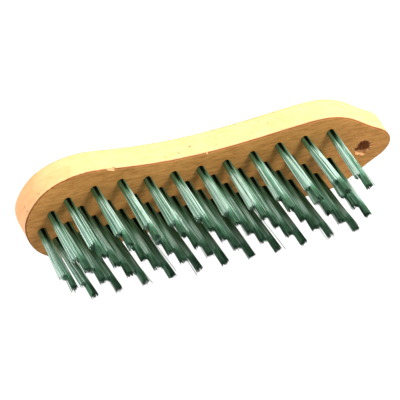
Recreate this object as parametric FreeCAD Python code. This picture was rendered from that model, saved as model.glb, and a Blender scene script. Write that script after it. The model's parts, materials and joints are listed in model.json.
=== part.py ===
"""Hand wire brush: waisted beech block, staple-set steel wire tufts in four rows.

Frame, in millimetres: the brush lies on the flat back of its block with the
wire upwards.  X runs along the block with the broad end at +X and the hanging
hole at -X, Y runs across it, and Z is up.  The origin is the middle of the
brush's lower face.
"""
import FreeCAD, Part
import math
import os

# ---- driving dimensions -------------------------------------------------
BLOCK_THICK = 18.0          # beech block, back face to bristle face
EDGE_ROUND = 1.0            # rounding of the block's long edges

PITCH = 16.3                # tuft spacing along a row
ROW_GAP = 9.1               # spacing of the two middle rows
BACK_ROW_Y = 14.2           # the back row runs straight
GRID_SHIFT = 6.9            # X of place 0, from which tuft places are counted
BEND_START = 4.0            # the front middle row bends outwards past this place
BEND_RATE = 1.4             # by this much for each pitch

HOLE_R = 2.5                # blind hole that a tuft sits in
HOLE_DEPTH = 11.0
FOLD_ROUND = 1.0            # rounding of the folded end at the hole's bottom

SHORT_LEG = 41.0            # free height of the leg towards the broad end
LONG_LEG = 51.0             # free height of the leg towards the hanging hole
LEG_ROOT_R = 1.75           # one leg's radius at the hole's mouth
LEG_TIP_R = 3.0             # and at its tip
LEG_ROOT_OFFSET = 0.65      # leg axis from the hole's axis, at the mouth
SHORT_LEAN = 0.2            # how far the short leg's tip stands towards +X
LONG_LEAN = -2.6            # and the long leg's tip towards the hanging hole
BACK_ROW_BEND = -1.6        # further lean of every tip in the back row
TUFT_BEND = {               # and of the tufts that stand out of line
    "tuft_r1_09": -1.8,
    "tuft_r1_10": -2.8,
    "tuft_r3_01": 1.8,
}

ANCHOR_LONG = 6.4           # flat wire anchor, across the hole
ANCHOR_TALL = 2.2
ANCHOR_THICK = 0.5
ANCHOR_LIFT = 1.3           # anchor's lower edge above the hole's bottom

HANG_HOLE_R = 4.3           # through hole that the brush hangs by
HANG_HOLE_X = -96.5
HANG_HOLE_ROUND = 0.5       # rounding of its two mouths

# Half outline of the block, broad end to narrow end: X and half width.
HALF_OUTLINE = [
    (114.0, 0.0),
    (110.0, 14.5),
    (103.0, 23.5),
    (92.0, 29.5),
    (77.0, 32.0),
    (57.0, 29.5),
    (23.0, 25.5),
    (3.0, 25.0),
    (-35.0, 27.0),
    (-59.0, 29.0),
    (-75.0, 28.5),
    (-89.0, 23.0),
    (-102.0, 13.5),
    (-110.5, 7.5),
    (-114.0, 0.0),
]

# The front row follows the block's side: place along the block, in pitches,
# and distance from the middle line.
FRONT_ROW = [
    (-5.0, 14.0),
    (-4.0, 18.0),
    (-3.0, 18.5),
    (-2.0, 15.5),
    (-0.5, 14.0),
    (1.0, 13.5),
    (3.0, 17.0),
    (5.0, 17.5),
]

# Tuft places along each row, in pitches.  The first tuft of three of the rows
# is out of step, where the block's broad end is round.
WHOLE = [float(step) for step in range(-5, 6)]
HALF = [step + 0.5 for step in range(-5, 5)]
ROWS = {
    "r1": WHOLE,
    "r2": [-5.6] + HALF,
    "r3": [-5.95] + WHOLE,
    "r4": [-5.4] + HALF,
}


def vec(x, y, z):
    return FreeCAD.Vector(x, y, z)


def front_row_y(place):
    """The front row's distance from the middle line, interpolated."""
    for (place_a, y_a), (place_b, y_b) in zip(FRONT_ROW, FRONT_ROW[1:]):
        if place_a <= place <= place_b:
            part = (place - place_a) / (place_b - place_a)
            return y_a + part * (y_b - y_a)
    raise ValueError(f"the front row has no place {place}")


def end_bend(place):
    """How far the front middle row leaves its straight line at the broad end."""
    return max(0.0, -place - BEND_START) * BEND_RATE


def row_y(row, place):
    """Y of a tuft, from its row and its place along the row."""
    if row == "r1":
        return -front_row_y(place)
    if row == "r2":
        return -ROW_GAP / 2 - end_bend(place)
    if row == "r3":
        return ROW_GAP / 2
    return BACK_ROW_Y


def tuft_places():
    """Yield each tuft's name and the X and Y of its hole."""
    for row, places in ROWS.items():
        for number, place in enumerate(places, start=1):
            x = GRID_SHIFT - place * PITCH
            yield f"tuft_{row}_{number:02d}", x, row_y(row, place)


def outline_face():
    """The block's outline at Z = 0: one smooth closed curve."""
    side = [vec(x, y, 0) for x, y in HALF_OUTLINE]
    other = [vec(x, -y, 0) for x, y in reversed(HALF_OUTLINE[1:-1])]
    curve = Part.BSplineCurve()
    curve.interpolate(Points=side + other, PeriodicFlag=True)
    return Part.Face(Part.Wire([curve.toShape()]))


def hole_at(x, y):
    return Part.makeCylinder(HOLE_R, HOLE_DEPTH, vec(x, y, BLOCK_THICK - HOLE_DEPTH))


def anchor_at(x, y):
    """Flat piece of wire driven across the hole, its ends biting into the wood."""
    corner = vec(
        x - ANCHOR_THICK / 2,
        y - ANCHOR_LONG / 2,
        BLOCK_THICK - HOLE_DEPTH + ANCHOR_LIFT,
    )
    return Part.makeBox(ANCHOR_THICK, ANCHOR_LONG, ANCHOR_TALL, corner)


def leg(x, y, side, lean, height):
    """One leg of a folded tuft: a cone that leans from the mouth to its tip."""
    root = vec(x + side * LEG_ROOT_OFFSET, y, BLOCK_THICK)
    tip = vec(x + lean, y, BLOCK_THICK + height)
    axis = tip - root
    return Part.makeCone(LEG_ROOT_R, LEG_TIP_R, axis.Length, root, axis)


def bend_of(name):
    """How far a tuft's tips lean further along X than the usual tuft's."""
    if name.startswith("tuft_r4"):
        return BACK_ROW_BEND
    return TUFT_BEND.get(name, 0.0)


def tuft_at(x, y, bend):
    """Wire bundle folded round its anchor: a shank in the hole and two legs."""
    bottom = BLOCK_THICK - HOLE_DEPTH
    shank = Part.makeCylinder(HOLE_R, HOLE_DEPTH, vec(x, y, bottom))
    folded = [edge for edge in shank.Edges if edge.BoundBox.ZMax < bottom + 0.01]
    shank = shank.makeFillet(FOLD_ROUND, folded)
    short = leg(x, y, 1, SHORT_LEAN + bend, SHORT_LEG)
    long = leg(x, y, -1, LONG_LEAN + bend, LONG_LEG)
    whole = shank.fuse([short, long]).removeSplitter()
    return whole.cut(anchor_at(x, y))


def block():
    """Beech block with its blind holes, anchor bites and hanging hole."""
    body = outline_face().extrude(vec(0, 0, BLOCK_THICK))
    rims = [edge for edge in body.Edges
            if abs(edge.BoundBox.ZMax - edge.BoundBox.ZMin) < 0.01]
    body = body.makeFillet(EDGE_ROUND, rims)
    cuts = [Part.makeCylinder(HANG_HOLE_R, BLOCK_THICK, vec(HANG_HOLE_X, 0, 0))]
    for _name, x, y in tuft_places():
        cuts.append(hole_at(x, y))
        cuts.append(anchor_at(x, y))
    body = body.cut(Part.makeCompound(cuts))
    mouths = [edge for edge in body.Edges if is_hang_mouth(edge)]
    return body.makeFillet(HANG_HOLE_ROUND, mouths)


def is_hang_mouth(edge):
    """True for the two circles where the hanging hole meets the faces."""
    circle = edge.Curve
    return (isinstance(circle, Part.Circle)
            and math.isclose(circle.Radius, HANG_HOLE_R, abs_tol=0.01)
            and math.isclose(circle.Center.x, HANG_HOLE_X, abs_tol=0.01))


def save(shape, name):
    os.makedirs("parts", exist_ok=True)
    shape.exportStep(f"parts/{name}.step")
    print(f"{name}: valid {shape.isValid()}, solids {len(shape.Solids)}, "
          f"volume {shape.Volume:.1f}")


def main():
    save(block(), "block")
    places = list(tuft_places())
    save(Part.makeCompound([anchor_at(x, y) for _name, x, y in places]), "anchors")
    for name, x, y in places:
        save(tuft_at(x, y, bend_of(name)), name)


main()
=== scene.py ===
"""Looks of the wire brush: beech block, wire tufts, studio floor, lights and camera.

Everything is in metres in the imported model's frame: the block lies on its flat
back, its broad end at +X and its hanging hole at -X, and the wire points up.
"""

import json
import math

import bmesh
import bpy
import numpy as np
from mathutils import Matrix, Vector
from mathutils.bvhtree import BVHTree


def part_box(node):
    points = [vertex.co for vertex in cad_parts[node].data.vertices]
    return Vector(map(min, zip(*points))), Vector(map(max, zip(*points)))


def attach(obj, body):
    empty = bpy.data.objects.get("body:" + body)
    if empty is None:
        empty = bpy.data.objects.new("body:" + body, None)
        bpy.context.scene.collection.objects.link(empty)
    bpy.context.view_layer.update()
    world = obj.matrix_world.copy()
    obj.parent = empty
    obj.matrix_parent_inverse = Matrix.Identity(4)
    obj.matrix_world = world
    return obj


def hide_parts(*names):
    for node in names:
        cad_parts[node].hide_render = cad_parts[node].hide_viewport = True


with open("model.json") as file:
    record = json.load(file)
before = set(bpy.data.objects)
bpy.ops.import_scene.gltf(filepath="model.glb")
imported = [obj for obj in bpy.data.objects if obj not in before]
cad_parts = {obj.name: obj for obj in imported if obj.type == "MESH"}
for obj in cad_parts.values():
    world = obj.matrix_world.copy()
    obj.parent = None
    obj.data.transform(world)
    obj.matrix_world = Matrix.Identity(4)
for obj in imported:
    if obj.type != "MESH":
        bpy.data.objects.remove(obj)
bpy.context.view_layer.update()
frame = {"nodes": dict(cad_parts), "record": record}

MM = 0.001

# ---- sizes of a tuft -------------------------------------------------------
WIRE_R = 0.23 * MM           # radius of one wire
WIRES_PER_LEG = 38
WIRE_SIDES = 6
WIRE_RINGS = 9               # rings of vertices along a wire
HOLE_R = 2.5 * MM
ROOT_SINK = 3.0 * MM         # how far the wires are drawn down into their hole
SHORT_FREE = 41.0 * MM       # free length of the leg towards the broad end
LONG_FREE = 51.0 * MM        # and of the leg towards the hanging hole
SHORT_LEAN = 0.2 * MM        # where each leg's tip stands from its hole, along X
LONG_LEAN = -2.6 * MM
BACK_ROW_BEND = -1.6 * MM    # further lean of the tips in the back row
TUFT_BEND = {                # and of the tufts that stand out of line
    "tuft_r1_09": -1.8 * MM,
    "tuft_r1_10": -2.8 * MM,
    "tuft_r3_01": 1.8 * MM,
}
SHORT_TIP_R = 3.1 * MM       # radius of each leg's wire bundle at its tip
LONG_TIP_R = 2.8 * MM

# Where the wires stand in the hole, in parts of its radius.
FOLD_GAP = 0.30              # no wire is nearer to the fold
HOLE_FILL = 0.91             # or further out
WIRE_APART = 0.165           # distance between wires that is tried first
CLOSER = 0.9995              # and its factor after each try
LEG_MIDDLE = 0.55            # middle of a leg's wires, from the fold
LEG_HALF = (0.40, 0.90)      # their half widths in X and Y

# How uneven the wires are.
TIP_FILL = 0.92              # part of the tip radius that the wires keep to
TIP_JITTER = 0.16 * MM       # each tip's own shift
UNEVEN_CUT = 0.45 * MM       # how much shorter than the leg a wire is, on average
BOW = 0.12 * MM              # sideways bow of a wire
STRAY_AWAY = 1.5 * MM        # how far a stray wire's tip stands off
MOST_STRAYS = 2              # in each leg of a tuft
NARROW_END_X = -60.0 * MM    # past here each leg has more strays
NARROW_END_STRAYS = 3
CAP_ANGLE = math.radians(75)  # edges sharper than this stay sharp
TUFT_SEED = 100              # the first tuft's seed; each tuft after it has the next

# ---- tones of the wires, with painted shade in them: 1 is bright metal, 0 is black ---
# Painted shade at the root: the tone is dark near the face, where the wires stand in the shade
# of the wood and of the tufts in front, and fades out between two heights.  The front row and
# the first tuft of each row are painted lit from lowest down, the rows behind from higher up.
ROOT_SHADE_HEIGHTS = {
    "r1": (7.0 * MM, 13.0 * MM),
    "r2": (12.0 * MM, 24.0 * MM),
    "r3": (15.0 * MM, 29.0 * MM),
    "r4": (19.0 * MM, 34.0 * MM),
}
END_SHADE_FROM = 38.0 * MM       # the long leg is painted dark again above these heights, as painted shade
END_SHADE_TO = 44.0 * MM
END_SHADE_LIT_LOSS = 0.95      # and loses this part of its lit tone
END_SHADE_ROOT_LOSS = 0.55       # and of its shaded tone
FOLD_SIDE = 0.42             # wires nearer the fold than this part of the hole's radius
NOTCH_FROM = 7.0 * MM        # are darkened as painted shade up to here, where the legs part,
NOTCH_TO = 15.0 * MM         # and like the others from here on
NOTCH_SHADE_LOSS = 0.95            # part of its tone that such a wire loses to painted shade
SHADED_TONE = 0.33               # tone of wire in painted shade
SHADED_TONE_SPREAD = (0.5, 1.3)  # times this, from wire to wire
DULL_SHARE = 0.36            # part of the wires that are dull where painted lit
DULL_TONES = (0.10, 0.45)    # their tones
BRIGHT_TONES = (0.80, 1.15)  # and the other wires' tones

# ---- damage to the block ---------------------------------------------------
# Chips out of the front edge of the bristle face.  Each grows from nothing at its
# first X to its full width and depth at its second, where it ends in a step.
EDGE_CHIPS = [
    (67.0 * MM, 59.5 * MM, 1.9 * MM, 1.9 * MM),
    (4.6 * MM, 2.2 * MM, 1.5 * MM, 1.4 * MM),
]
# Gouges torn out round the hanging hole: offset of the middle in X and Y,
# length, width and depth.
HOLE_GOUGES = [
    (2.3 * MM, 1.3 * MM, 7.2 * MM, 6.0 * MM, 6.0 * MM),
    (2.9 * MM, 4.1 * MM, 4.6 * MM, 3.0 * MM, 1.5 * MM),
    (-0.2 * MM, 5.2 * MM, 4.4 * MM, 3.2 * MM, 1.3 * MM),
    (6.2 * MM, -0.6 * MM, 2.8 * MM, 0.9 * MM, 0.8 * MM),
    (-4.6 * MM, 0.6 * MM, 3.2 * MM, 1.2 * MM, 1.0 * MM),
    (-4.4 * MM, -1.5 * MM, 3.6 * MM, 0.7 * MM, 0.6 * MM),
    (-3.6 * MM, 3.3 * MM, 2.6 * MM, 1.2 * MM, 0.8 * MM),
    (1.6 * MM, -4.1 * MM, 3.0 * MM, 0.9 * MM, 0.7 * MM),
]
RAGGED = 0.16                # how uneven a gouge is, in parts of its size
CHIP_SEED = 11
PALE_TO = 1.2 * MM           # torn wood is pale down to this depth
DARK_FROM = 2.2 * MM         # and painted dark from this one, as painted shade
# Pin knots in the block's front side: X, Z and radius.
PIN_KNOTS = [
    (10.5 * MM, 9.5 * MM, 1.0 * MM),
    (-20.5 * MM, 1.5 * MM, 0.5 * MM),
    (-34.5 * MM, 4.5 * MM, 0.5 * MM),
    (-61.5 * MM, 4.5 * MM, 0.5 * MM),
]
WELD = 0.001 * MM            # vertices nearer than this are one
FLAT = 0.999                 # a face whose normal's Z is past this is shaded flat
EDGE_ANGLE = math.radians(28)  # edges sharper than this stay sharp

# Torn fibres round the mouth of the hanging hole.
TORN_FIBRES = 34
FIBRE_SEED = 7
SOUND_WOOD = 0.2 * MM        # wood no lower than this under the face is sound
FIBRE_BACK = 0.5 * MM        # a fibre's root stands this far back in sound wood
FIBRE_SINK = 0.3 * MM        # and this deep
FIBRE_TURN = 0.09            # angle by which a fibre may miss its even place
FIBRE_SKEW = 0.6             # sideways slope that a fibre may have
FIBRE_SHORT = 0.5 * MM
FIBRE_LONG = 0.9 * MM        # longest fibre across the grain
FIBRE_LONGER = 1.1 * MM      # how much longer it may be along the grain
FIBRE_WIDTHS = (0.35 * MM, 0.7 * MM)
FIBRE_RISES = (-0.15 * MM, 0.35 * MM)

# ---- stage -----------------------------------------------------------------
FLOOR_HALF = 3.0
FLOOR_DROP = 0.2 * MM        # floor below the block's back
FLOOR_GLOW = 0.75
SKY_STRENGTH = 0.41

CAM_TARGET = (6.3 * MM, 10.5 * MM, 18.0 * MM)
CAM_DISTANCE = 2.4215
CAM_AZIMUTH = math.radians(23.774)
CAM_ELEVATION = math.radians(42.870)
CAM_ROLL = math.radians(149.487)
CAM_LENS = 375.98            # mm, on a 36 mm wide sensor


def new_object(name, data):
    """An object with this data, linked to the scene."""
    made = bpy.data.objects.new(name, data)
    bpy.context.scene.collection.objects.link(made)
    return made


def smooth_step(value, low, high):
    """0 below low, 1 above high, and a smooth rise between them."""
    part = np.clip((value - low) / (high - low), 0, 1)
    return part * part * (3 - 2 * part)


def front_side_y(block, x, z):
    """Y of the block's front side at this X and Z."""
    hit, place, _normal, _index = block.ray_cast((x, -1.0, z), (0, 1, 0))
    assert hit, f"the block has no front side at X = {x}"
    return place.y


# ---- shader nodes ----------------------------------------------------------
def new_material(name):
    """A new material, its node tree and its shader."""
    material = bpy.data.materials.new(name)
    material.use_nodes = True
    tree = material.node_tree
    tree.nodes.clear()
    shader = tree.nodes.new("ShaderNodeBsdfPrincipled")
    output = tree.nodes.new("ShaderNodeOutputMaterial")
    tree.links.new(shader.outputs["BSDF"], output.inputs["Surface"])
    return material, tree, shader


def node(tree, kind, **inputs):
    """A shader node with its unlinked sockets set."""
    made = tree.nodes.new(kind)
    for name, value in inputs.items():
        made.inputs[name.replace("_", " ")].default_value = value
    return made


def object_place(tree):
    """A point's place in the object's own axes."""
    return tree.nodes.new("ShaderNodeTexCoord").outputs["Object"]


def noise(tree, scale, detail, distortion=0.0):
    """Noise stretched by scale along the object's own axes."""
    stretch = node(tree, "ShaderNodeMapping", Scale=scale)
    made = node(tree, "ShaderNodeTexNoise", Scale=1.0, Detail=detail, Roughness=0.6,
                Distortion=distortion)
    tree.links.new(object_place(tree), stretch.inputs["Vector"])
    tree.links.new(stretch.outputs["Vector"], made.inputs["Vector"])
    return made.outputs["Fac"]


def coloured(tree, value, stops):
    """A value turned into colour by (position, colour) stops."""
    made = tree.nodes.new("ShaderNodeValToRGB")
    band = made.color_ramp
    while len(band.elements) < len(stops):
        band.elements.new(0.5)
    for element, (position, colour) in zip(band.elements, stops):
        element.position = position
        element.color = (*colour, 1.0)
    tree.links.new(value, made.inputs["Fac"])
    return made.outputs["Color"]


def blended(tree, first, second, factor, mode="MIX"):
    """Two colours blended; factor is a number or a socket."""
    made = tree.nodes.new("ShaderNodeMix")
    made.data_type = "RGBA"
    made.blend_type = mode
    if isinstance(factor, float):
        made.inputs["Factor"].default_value = factor
    else:
        tree.links.new(factor, made.inputs["Factor"])
    tree.links.new(first, made.inputs["A"])
    tree.links.new(second, made.inputs["B"])
    return made.outputs["Result"]


def ranged(tree, value, low, high, from_low=0.0, from_high=1.0):
    """A value moved from one range to another."""
    made = node(tree, "ShaderNodeMapRange", From_Min=from_low, From_Max=from_high,
                To_Min=low, To_Max=high)
    tree.links.new(value, made.inputs["Value"])
    return made.outputs["Result"]


def upward(tree):
    """How far the surface faces straight up or down, 0 to 1."""
    place = tree.nodes.new("ShaderNodeTexCoord")
    parts = tree.nodes.new("ShaderNodeSeparateXYZ")
    size = tree.nodes.new("ShaderNodeMath")
    size.operation = "ABSOLUTE"
    tree.links.new(place.outputs["Normal"], parts.inputs["Vector"])
    tree.links.new(parts.outputs["Z"], size.inputs[0])
    return size.outputs["Value"]


def near(tree, place, centre, radius, blur):
    """1 within radius of the centre, fading to 0 over blur."""
    away = tree.nodes.new("ShaderNodeVectorMath")
    away.operation = "DISTANCE"
    away.inputs[1].default_value = centre
    tree.links.new(place, away.inputs[0])
    return ranged(tree, away.outputs["Value"], 1.0, 0.0, radius, radius + blur)


def near_axis(tree, centre, radius, blur):
    """1 within radius of the upright axis through centre, fading to 0 over blur."""
    level = tree.nodes.new("ShaderNodeVectorMath")
    level.operation = "MULTIPLY"
    level.inputs[1].default_value = (1, 1, 0)
    tree.links.new(object_place(tree), level.inputs[0])
    return near(tree, level.outputs["Vector"], (centre[0], centre[1], 0), radius, blur)


# ---- materials -------------------------------------------------------------
def beech_face(tree, grain):
    """Colour of the two flat faces: grain, broad bands and dark flecks."""
    bands = noise(tree, (16, 70, 70), 3.0, 0.7)
    flecks = noise(tree, (600, 2300, 2300), 2.0)
    face = coloured(tree, grain, [
        (0.30, (0.60, 0.255, 0.062)),
        (0.50, (0.82, 0.385, 0.104)),
        (0.68, (0.93, 0.465, 0.142)),
    ])
    shade = coloured(tree, bands, [(0.32, (0.88, 0.84, 0.80)), (0.62, (1.05, 1.04, 1.02))])
    face = blended(tree, face, shade, 1.0, "MULTIPLY")
    dark = coloured(tree, flecks, [(0.30, (0.55, 0.42, 0.34)), (0.40, (1.0, 1.0, 1.0))])
    return blended(tree, face, dark, 0.8, "MULTIPLY")


def beech_side(tree, block):
    """Colour of the sawn sides: paler and mottled, with open pores and pin knots."""
    mottle = noise(tree, (120, 120, 260), 5.0, 0.5)
    side = coloured(tree, mottle, [
        (0.30, (0.92, 0.44, 0.170)),
        (0.50, (0.97, 0.50, 0.215)),
        (0.70, (0.98, 0.54, 0.245)),
    ])
    pores = noise(tree, (300, 300, 620), 2.0)
    dark = coloured(tree, pores, [(0.25, (0.46, 0.32, 0.22)), (0.34, (1.0, 1.0, 1.0))])
    side = blended(tree, side, dark, 0.8, "MULTIPLY")
    knot = coloured(tree, pores, [(0.40, (0.20, 0.070, 0.020)), (0.60, (0.34, 0.130, 0.040))])
    for x, z, radius in PIN_KNOTS:
        centre = (x, front_side_y(block, x, z), z)
        core = 0.2 * radius
        in_knot = near(tree, object_place(tree), centre, core, blur=radius - core)
        side = blended(tree, side, knot, in_knot)
    return side


def beech_material(block, hole_centre, hole_r):
    """Lacquered beech: its faces and sides, with painted shade on the rounded edges and in the
    hanging hole.
    """
    material, tree, shader = new_material("beech_lacquered")
    grain = noise(tree, (110, 620, 620), 7.0, 0.35)
    faces_up = upward(tree)
    on_face = coloured(tree, faces_up, [(0.12, (0, 0, 0)), (0.34, (1, 1, 1))])
    wood = blended(tree, beech_side(tree, block), beech_face(tree, grain), on_face)
    # painted shade on the rounded edges between face and sides, by how far the surface faces up
    edge_shade = coloured(tree, faces_up, [
        (0.12, (1, 1, 1)),
        (0.32, (0.28, 0.19, 0.16)),
        (0.85, (0.42, 0.31, 0.25)),
        (0.98, (1, 1, 1)),
    ])
    wood = blended(tree, wood, edge_shade, 1.0, "MULTIPLY")
    # painted shade in the hanging hole: darker wood near its axis
    hole_shade = coloured(tree, grain, [(0.35, (0.40, 0.170, 0.055)), (0.65, (0.70, 0.33, 0.125))])
    wood = blended(tree, wood, hole_shade, near_axis(tree, hole_centre, hole_r, blur=0.4 * MM))
    tree.links.new(wood, shader.inputs["Base Color"])
    tree.links.new(ranged(tree, grain, 0.48, 0.68), shader.inputs["Roughness"])
    bump = node(tree, "ShaderNodeBump", Strength=0.22, Distance=0.3 * MM)
    tree.links.new(grain, bump.inputs["Height"])
    tree.links.new(bump.outputs["Normal"], shader.inputs["Normal"])
    shader.inputs["Specular IOR Level"].default_value = 0.3
    return material


def raw_wood_material(face_z):
    """Torn beech fibre: pale, dry and matt at the face, painted dark as painted shade where it is
    deep.
    """
    material, tree, shader = new_material("beech_torn")
    streak = noise(tree, (300, 2400, 2400), 4.0)
    pale = coloured(tree, streak, [(0.35, (0.66, 0.31, 0.105)), (0.65, (0.98, 0.56, 0.25))])
    deep = coloured(tree, streak, [(0.35, (0.16, 0.050, 0.014)), (0.65, (0.34, 0.130, 0.040))])
    parts = tree.nodes.new("ShaderNodeSeparateXYZ")
    tree.links.new(object_place(tree), parts.inputs["Vector"])
    # painted shade: darker the deeper the torn wood lies under the face
    deep_shade = ranged(tree, parts.outputs["Z"], 1.0, 0.0, face_z - DARK_FROM, face_z - PALE_TO)
    tree.links.new(blended(tree, pale, deep, deep_shade), shader.inputs["Base Color"])
    shader.inputs["Roughness"].default_value = 0.85
    return material


def wire_material():
    """Drawn steel wire: bare metal where its tone is high, painted dark green shade where its tone
    is low.
    """
    material, tree, shader = new_material("steel_wire")
    tone = tree.nodes.new("ShaderNodeAttribute")
    tone.attribute_name = "tone"
    scratch = noise(tree, (3000, 3000, 120), 4.0)
    # low tones are painted shade in dark green, high tones are bright metal
    colour = coloured(tree, tone.outputs["Fac"], [
        (0.00, (0.004, 0.014, 0.008)),
        (0.30, (0.160, 0.380, 0.220)),
        (0.60, (0.260, 0.500, 0.370)),
        (1.00, (0.780, 0.980, 0.880)),
    ])
    marks = coloured(tree, scratch, [(0.30, (0.72, 0.76, 0.74)), (0.60, (1.0, 1.0, 1.0))])
    colour = blended(tree, colour, marks, 1.0, "MULTIPLY")
    tree.links.new(colour, shader.inputs["Base Color"])
    tree.links.new(ranged(tree, scratch, 0.24, 0.42), shader.inputs["Roughness"])
    shader.inputs["Metallic"].default_value = 0.85
    return material


def cut_end_material():
    """The sheared ends of the wires: rough and burred, painted dark as painted shade, as though no
    light fell on them from above.
    """
    material, tree, shader = new_material("steel_cut_end")
    burr = noise(tree, (5200, 5200, 5200), 3.0)
    # the ends are painted near black: painted shade
    colour = coloured(tree, burr, [(0.35, (0.012, 0.028, 0.014)), (0.65, (0.06, 0.12, 0.075))])
    tree.links.new(colour, shader.inputs["Base Color"])
    shader.inputs["Metallic"].default_value = 1.0
    shader.inputs["Roughness"].default_value = 0.6
    return material


def anchor_material():
    """Flat staple wire: plain steel with rolling marks along it."""
    material, tree, shader = new_material("anchor_wire")
    marks = noise(tree, (4200, 900, 4200), 3.0)
    colour = coloured(tree, marks, [(0.35, (0.28, 0.29, 0.28)), (0.65, (0.50, 0.51, 0.50))])
    tree.links.new(colour, shader.inputs["Base Color"])
    shader.inputs["Metallic"].default_value = 1.0
    shader.inputs["Roughness"].default_value = 0.38
    return material


# ---- block -----------------------------------------------------------------
def add_lump(chips, rng, centre, size):
    """A ragged lump, later cut out of the block."""
    made = bmesh.ops.create_icosphere(chips, subdivisions=2, radius=0.5)
    for vertex in made["verts"]:
        ragged = 1 + rng.uniform(-RAGGED, RAGGED)
        vertex.co = Vector(centre) + Vector([ragged * a * b for a, b in zip(vertex.co, size)])


def add_wedge(chips, block, face_z, start_x, end_x, width, depth):
    """A wedge along the front edge, later cut out of the block."""
    below_rounding = face_z - 2 * MM
    start = Vector((start_x, front_side_y(block, start_x, below_rounding), face_z))
    end = Vector((end_x, front_side_y(block, end_x, below_rounding), face_z))
    inner = end + Vector((0, width, 0))
    lower = end - Vector((0, 0, depth))
    outer = end + Vector((0, -width, depth))
    # The two cutting corners go on past the surfaces, so that the cut comes out clean.
    past = (inner - lower) * 0.4
    corners = [chips.verts.new(place) for place in (start, inner + past, lower - past, outer)]
    for first, second, third in ((0, 1, 2), (0, 2, 3), (0, 3, 1), (1, 3, 2)):
        chips.faces.new((corners[first], corners[second], corners[third]))


def chip_cutter(block, hole_centre, face_z, material):
    """One object with every chip and gouge, to be cut out of the block."""
    rng = np.random.default_rng(CHIP_SEED)
    chips = bmesh.new()
    for start_x, end_x, width, depth in EDGE_CHIPS:
        add_wedge(chips, block, face_z, start_x, end_x, width, depth)
    for away_x, away_y, length, width, depth in HOLE_GOUGES:
        place = (hole_centre[0] + away_x, hole_centre[1] + away_y, face_z)
        add_lump(chips, rng, place, (length, width, depth * 2))
    bmesh.ops.recalc_face_normals(chips, faces=chips.faces)
    mesh = bpy.data.meshes.new("chips")
    chips.to_mesh(mesh)
    chips.free()
    mesh.materials.append(material)
    return new_object("chips", mesh)


def with_modifiers_applied(piece):
    """The piece's mesh as its modifiers leave it, which then takes their place."""
    ready = piece.evaluated_get(bpy.context.evaluated_depsgraph_get())
    mesh = bpy.data.meshes.new_from_object(ready)
    piece.modifiers.clear()
    piece.data = mesh
    return mesh


def welded_copy(source, material):
    """The source's mesh as one closed skin, without the normals stored for it."""
    mesh = source.data.copy()
    if "custom_normal" in mesh.attributes:
        mesh.attributes.remove(mesh.attributes["custom_normal"])
    solid = bmesh.new()
    solid.from_mesh(mesh)
    bmesh.ops.remove_doubles(solid, verts=solid.verts, dist=WELD)
    solid.to_mesh(mesh)
    solid.free()
    mesh.materials.clear()
    mesh.materials.append(material)
    return mesh


def build_block(source, hole_centre, face_z, beech, raw_wood):
    """The CAD block with its chips and torn hole mouth cut in."""
    piece = new_object("block_wood", welded_copy(source, beech))
    cutter = chip_cutter(source, hole_centre, face_z, raw_wood)
    cut = piece.modifiers.new("chips", "BOOLEAN")
    cut.operation = "DIFFERENCE"
    cut.solver = "EXACT"
    cut.material_mode = "TRANSFER"
    cut.use_self = True
    cut.object = cutter
    worn = with_modifiers_applied(piece)
    bpy.data.objects.remove(cutter)

    for polygon in worn.polygons:
        polygon.use_smooth = abs(polygon.normal.z) < FLAT
    worn.set_sharp_from_angle(angle=EDGE_ANGLE)
    by_area = piece.modifiers.new("flat", "WEIGHTED_NORMAL")
    by_area.mode = "FACE_AREA"
    by_area.weight = 100
    by_area.keep_sharp = True
    with_modifiers_applied(piece)
    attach(piece, "root")
    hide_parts("block")
    return piece


# ---- torn fibres round the hanging hole ------------------------------------
def splinter(start, along, width, rise):
    """A thin four-sided splinter: vertices and faces from a broad root to a point."""
    end = start + along
    across = Vector((-along.y, along.x, 0)).normalized() * width / 2
    lift = Vector((0, 0, rise))
    sunk = Vector((0, 0, -FIBRE_SINK))
    points = [
        start - across + sunk,
        start + across + sunk,
        start + across * 0.6 + lift * 0.5,
        start - across * 0.6 + lift * 0.5,
        end + lift,
    ]
    faces = [(3, 2, 1, 0), (0, 1, 4), (1, 2, 4), (2, 3, 4), (3, 0, 4)]
    return points, faces


def rim_reach(wood, centre, outward, radius, face_z):
    """How far from the hole's axis the wood stands at its full height."""
    reach = radius
    while True:
        above = Vector((centre[0], centre[1], face_z + 1 * MM)) + outward * reach
        place, _normal, _index, _distance = wood.ray_cast(above, Vector((0, 0, -1)))
        if place is not None and place.z > face_z - SOUND_WOOD:
            return reach
        reach += 0.2 * MM


def build_torn_rim(block, centre, radius, face_z, material):
    """Fibres that the drill tore out round the mouth of the hanging hole."""
    wood = BVHTree.FromObject(block, bpy.context.evaluated_depsgraph_get())
    rng = np.random.default_rng(FIBRE_SEED)
    points, faces = [], []
    for angle in np.linspace(0, 2 * math.pi, TORN_FIBRES, endpoint=False):
        turn = angle + rng.uniform(-FIBRE_TURN, FIBRE_TURN)
        outward = Vector((math.cos(turn), math.sin(turn), 0))
        reach = rim_reach(wood, centre, outward, radius, face_z) + FIBRE_BACK
        start = Vector((centre[0], centre[1], face_z)) + outward * reach
        along_grain = abs(math.cos(turn))
        length = rng.uniform(FIBRE_SHORT, FIBRE_LONG + FIBRE_LONGER * along_grain)
        skew = Vector((0, rng.uniform(-FIBRE_SKEW, FIBRE_SKEW), 0))
        way = (skew - outward).normalized()
        width = rng.uniform(*FIBRE_WIDTHS)
        rise = rng.uniform(*FIBRE_RISES)
        new_points, new_faces = splinter(start, way * length, width, rise)
        faces += [tuple(index + len(points) for index in face) for face in new_faces]
        points += new_points
    mesh = bpy.data.meshes.new("torn_rim")
    mesh.from_pydata([tuple(point) for point in points], [], faces)
    mesh.materials.append(material)
    piece = new_object("torn_rim", mesh)
    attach(piece, "root")


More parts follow.
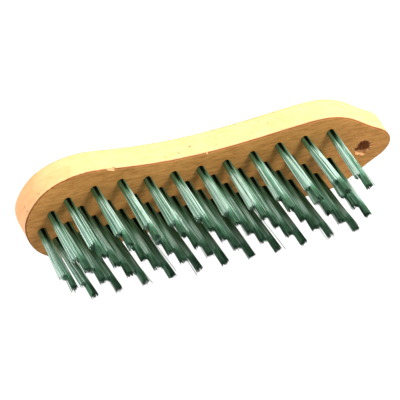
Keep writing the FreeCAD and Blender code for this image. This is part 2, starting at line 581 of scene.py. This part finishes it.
# ---- tufts -----------------------------------------------------------------
def tuft_holes(nodes, face_z):
    """Each tuft node's name and the X and Y of its hole, from its part below the face."""
    holes = []
    for name in sorted(nodes):
        if name.startswith("tuft_"):
            points = [vertex.co for vertex in nodes[name].data.vertices]
            sunk = np.array([point for point in points if point.z < face_z - 0.1 * MM])
            middle = (sunk.min(axis=0) + sunk.max(axis=0)) / 2
            holes.append((name, middle[0], middle[1]))
    return holes


def bend_of(name):
    """How far a tuft's tips lean further along X than the usual tuft's."""
    if name.startswith("tuft_r4"):
        return BACK_ROW_BEND
    return TUFT_BEND.get(name, 0.0)


def half_disc(rng, count, side):
    """Points spread evenly over one half of the hole, side +1 or -1 in X."""
    points = []
    apart = WIRE_APART
    while len(points) < count:
        u, v = rng.uniform(-1, 1, 2)
        if math.hypot(u, v) < HOLE_FILL and u * side > FOLD_GAP:
            if all(math.hypot(u - a, v - b) > apart for a, b in points):
                points.append((u, v))
            apart *= CLOSER
    return np.array(points)


def leg_wires(rng, root_x, root_y, face_z, side, lean, free, tip_r, strays):
    """One leg's wires: their centre lines as wires x rings x 3, the same points'
    heights over the face, and which wires lie beside the fold."""
    start = half_disc(rng, WIRES_PER_LEG, side)
    middle = np.array([side * LEG_MIDDLE, 0.0])
    spread = (start - middle) / np.array(LEG_HALF)
    count = len(start)
    tip_x = lean + spread[:, 0] * tip_r * TIP_FILL + rng.normal(0, TIP_JITTER, count)
    tip_y = spread[:, 1] * tip_r * TIP_FILL + rng.normal(0, TIP_JITTER, count)
    length = free - rng.exponential(UNEVEN_CUT, count)
    stray = np.arange(count) < strays
    tip_x = np.where(stray, tip_x - rng.exponential(STRAY_AWAY, count), tip_x)
    tip_y = np.where(stray, tip_y + rng.normal(0, STRAY_AWAY, count), tip_y)
    bow = rng.normal(0, BOW, (count, 2))
    steps = np.linspace(0, 1, WIRE_RINGS)
    height = -ROOT_SINK + (length[:, None] + ROOT_SINK) * steps
    out = np.clip(height / length[:, None], 0, 1)
    swell = np.sin(np.pi * out)
    root = start * HOLE_R
    x = root[:, :1] + (tip_x[:, None] - root[:, :1]) * out + bow[:, :1] * swell
    y = root[:, 1:] + (tip_y[:, None] - root[:, 1:]) * out + bow[:, 1:] * swell
    by_fold = np.abs(start[:, :1]) < FOLD_SIDE
    return np.stack([root_x + x, root_y + y, face_z + height], axis=-1), height, by_fold


def leg_tones(rng, height, by_fold, row, end_shaded):
    """Tone of each ring of each wire: painted shade at the root, by the fold and on a shaded leg's
    end, lit wire elsewhere, uneven strands.
    """
    # painted shade on the long leg above the short leg's tips
    end_shade = smooth_step(height, END_SHADE_FROM, END_SHADE_TO) * end_shaded
    # painted lit above the painted shade at the root, between the row's two heights
    lit = smooth_step(height, *ROOT_SHADE_HEIGHTS[row]) * (1 - END_SHADE_LIT_LOSS * end_shade)
    one_each = (len(height), 1)
    dull = rng.random(one_each) < DULL_SHARE
    dull_tone = rng.uniform(*DULL_TONES, one_each)
    bright_tone = rng.uniform(*BRIGHT_TONES, one_each)
    strand = np.where(dull, dull_tone, bright_tone)
    # tone of the wire where it is in painted shade
    root = SHADED_TONE * rng.uniform(*SHADED_TONE_SPREAD, one_each) * (1 - END_SHADE_ROOT_LOSS * end_shade)
    # painted shade in the notch between the legs, by the fold
    notch_shade = by_fold * (1 - smooth_step(height, NOTCH_FROM, NOTCH_TO))
    root = root * (1 - NOTCH_SHADE_LOSS * notch_shade)
    lit = lit * (1 - notch_shade)
    return np.clip(root + (1 - SHADED_TONE) * lit * strand, 0, 1)


def tubes(lines, radius):
    """Vertices, side faces and cap faces of tubes along lines that run mostly up."""
    wires, rings, _ = lines.shape
    angles = np.linspace(0, 2 * math.pi, WIRE_SIDES, endpoint=False)
    circle = np.stack([np.cos(angles), np.sin(angles), np.zeros(WIRE_SIDES)], axis=-1) * radius
    points = (lines[:, :, None, :] + circle[None, None]).reshape(-1, 3)
    wire, ring, edge = np.meshgrid(
        np.arange(wires), np.arange(rings - 1), np.arange(WIRE_SIDES), indexing="ij")
    base = wire * rings * WIRE_SIDES + ring * WIRE_SIDES
    following = (edge + 1) % WIRE_SIDES
    sides = np.stack([
        base + edge,
        base + following,
        base + WIRE_SIDES + following,
        base + WIRE_SIDES + edge,
    ], axis=-1).reshape(-1, 4)
    first = np.arange(wires)[:, None] * rings * WIRE_SIDES
    around = np.arange(WIRE_SIDES)[None]
    caps = np.concatenate([first + around[:, ::-1], first + (rings - 1) * WIRE_SIDES + around])
    return points, sides.tolist(), caps.tolist()


def build_tuft(name, root_x, root_y, face_z, seed, materials):
    """One tuft's wires as one mesh, which stands for the tuft's CAD solid."""
    rng = np.random.default_rng(seed)
    row = "r1" if name.endswith("_01") else name.split("_")[1]
    bend = bend_of(name)
    strays = int(rng.integers(0, MOST_STRAYS + 1))
    if root_x < NARROW_END_X:
        strays += NARROW_END_STRAYS
    short, short_height, short_fold = leg_wires(
        rng, root_x, root_y, face_z, 1, SHORT_LEAN + bend, SHORT_FREE, SHORT_TIP_R, strays)
    long, long_height, long_fold = leg_wires(
        rng, root_x, root_y, face_z, -1, LONG_LEAN + bend, LONG_FREE, LONG_TIP_R, strays)
    # only the long leg gets painted shade at its end
    tones = np.concatenate([
        leg_tones(rng, short_height, short_fold, row, end_shaded=False),
        leg_tones(rng, long_height, long_fold, row, end_shaded=True),
    ])
    points, sides, caps = tubes(np.concatenate([short, long]), WIRE_R)
    mesh = bpy.data.meshes.new(name + "_wires")
    mesh.from_pydata(points.tolist(), [], sides + caps)
    for material in materials:
        mesh.materials.append(material)
    mesh.polygons.foreach_set("material_index", [0] * len(sides) + [1] * len(caps))
    mesh.polygons.foreach_set("use_smooth", [True] * len(mesh.polygons))
    mesh.set_sharp_from_angle(angle=CAP_ANGLE)
    tone = mesh.attributes.new("tone", "FLOAT", "POINT")
    tone.data.foreach_set("value", np.repeat(tones.reshape(-1), WIRE_SIDES))
    piece = new_object(name + "_wires", mesh)
    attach(piece, "root")
    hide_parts(name)


# ---- stage -----------------------------------------------------------------
def add_floor():
    """A pale floor that gives off a little light, so that it renders white."""
    mesh = bpy.data.meshes.new("floor")
    corners = [(-1, -1), (1, -1), (1, 1), (-1, 1)]
    mesh.from_pydata([(FLOOR_HALF * x, FLOOR_HALF * y, 0) for x, y in corners], [], [(0, 1, 2, 3)])
    floor = new_object("floor", mesh)
    material, _tree, shader = new_material("pale_floor")
    shader.inputs["Base Color"].default_value = (0.92, 0.92, 0.92, 1)
    shader.inputs["Roughness"].default_value = 0.9
    shader.inputs["Emission Color"].default_value = (1, 1, 1, 1)
    shader.inputs["Emission Strength"].default_value = FLOOR_GLOW
    mesh.materials.append(material)
    floor.location.z = -FLOOR_DROP


def add_light(name, direction, distance, size, power):
    """A round soft light in this direction from the origin, facing it."""
    light = bpy.data.lights.new(name, "AREA")
    light.shape = "DISK"
    light.size = size
    light.energy = power
    lamp = new_object(name, light)
    way = Vector(direction).normalized()
    lamp.location = way * distance
    lamp.rotation_euler = way.to_track_quat("Z", "Y").to_euler()


def add_lights():
    """White surroundings, a key light low on the front side and a fill at the broad end."""
    world = bpy.context.scene.world or bpy.data.worlds.new("studio")
    bpy.context.scene.world = world
    world.use_nodes = True
    back = world.node_tree.nodes["Background"]
    back.inputs["Color"].default_value = (1, 1, 1, 1)
    back.inputs["Strength"].default_value = SKY_STRENGTH
    add_light("key", direction=(-0.42, -0.88, 0.15), distance=1.6, size=0.8, power=37)
    add_light("fill", direction=(0.95, -0.15, 0.06), distance=1.8, size=0.9, power=7.5)


def add_camera():
    """The camera, rolled so that the wire hangs down in its view."""
    data = bpy.data.cameras.new("camera")
    data.lens = CAM_LENS
    data.sensor_width = 36.0
    data.clip_start = 0.1
    data.clip_end = 50
    camera = new_object("camera", data)
    back = Vector((
        math.sin(CAM_AZIMUTH) * math.cos(CAM_ELEVATION),
        -math.cos(CAM_AZIMUTH) * math.cos(CAM_ELEVATION),
        math.sin(CAM_ELEVATION),
    ))
    level = Vector((math.cos(CAM_AZIMUTH), math.sin(CAM_AZIMUTH), 0))
    right = Matrix.Rotation(CAM_ROLL, 3, back) @ level
    up = back.cross(right)
    place = Vector(CAM_TARGET) + back * CAM_DISTANCE
    camera.matrix_world = Matrix((
        (right.x, up.x, back.x, place.x),
        (right.y, up.y, back.y, place.y),
        (right.z, up.z, back.z, place.z),
        (0, 0, 0, 1),
    ))
    bpy.context.scene.camera = camera


# ---- scene -----------------------------------------------------------------
nodes = frame["nodes"]
hang_hole = next(mount for mount in frame["record"]["mounts"] if mount["name"] == "hanging_hole")
hole_centre = hang_hole["pos_m"]
hole_r = hang_hole["dims"]["r_mm"] * MM
face_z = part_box("block")[1][2]

add_camera()
beech = beech_material(nodes["block"], hole_centre, hole_r)
raw_wood = raw_wood_material(face_z)
block = build_block(nodes["block"], hole_centre, face_z, beech, raw_wood)
build_torn_rim(block, hole_centre, hole_r, face_z, raw_wood)

anchor_slots = nodes["anchors"].data.materials
anchor_slots.clear()
anchor_slots.append(anchor_material())

wire_materials = [wire_material(), cut_end_material()]
for number, (name, hole_x, hole_y) in enumerate(tuft_holes(nodes, face_z)):
    build_tuft(name, hole_x, hole_y, face_z, TUFT_SEED + number, wire_materials)

add_floor()
add_lights()
bpy.context.scene.view_settings.view_transform = "Standard"
